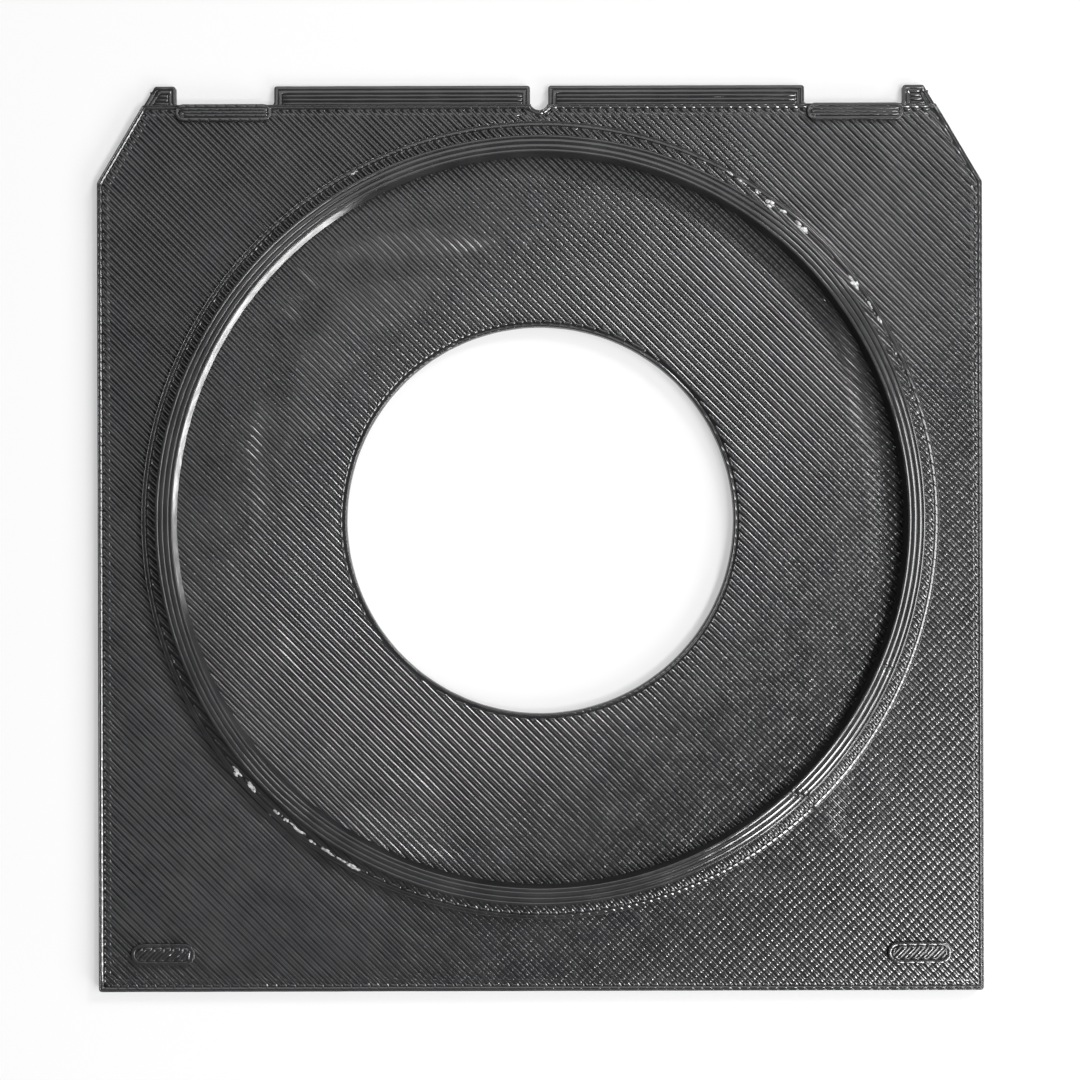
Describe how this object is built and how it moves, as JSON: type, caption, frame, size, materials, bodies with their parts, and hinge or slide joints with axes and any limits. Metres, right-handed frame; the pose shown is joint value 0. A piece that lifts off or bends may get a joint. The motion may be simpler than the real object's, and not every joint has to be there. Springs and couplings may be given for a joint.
{
  "type": "lens board",
  "caption": "Flat rectangular camera lens board with a round shutter hole, a raised circular light-trap wall, a thin notched top lip and small raised seating pads.",
  "frame": {"origin": "on the axis of the shutter hole, in the flat front face of the board", "axes": "+Z points to the camera side, where the light-trap wall stands; +Y points to the notched top edge; +X completes the right-handed frame"},
  "size_m": [0.096, 0.0982, 0.005],
  "materials": {
    "printed_plastic": "glossy black printed plastic, with fine bead lines and layer lines"
  },
  "bodies": {
    "root": {"board_plate": "printed_plastic", "wall_shoulder": "printed_plastic", "light_trap_wall": "printed_plastic", "top_lip_left": "printed_plastic", "top_lip_right": "printed_plastic", "corner_tab_left": "printed_plastic", "corner_tab_right": "printed_plastic", "top_pad_left": "printed_plastic", "top_pad_right": "printed_plastic", "bottom_pad_left": "printed_plastic", "bottom_pad_right": "printed_plastic"}
  },
  "joints": []
}
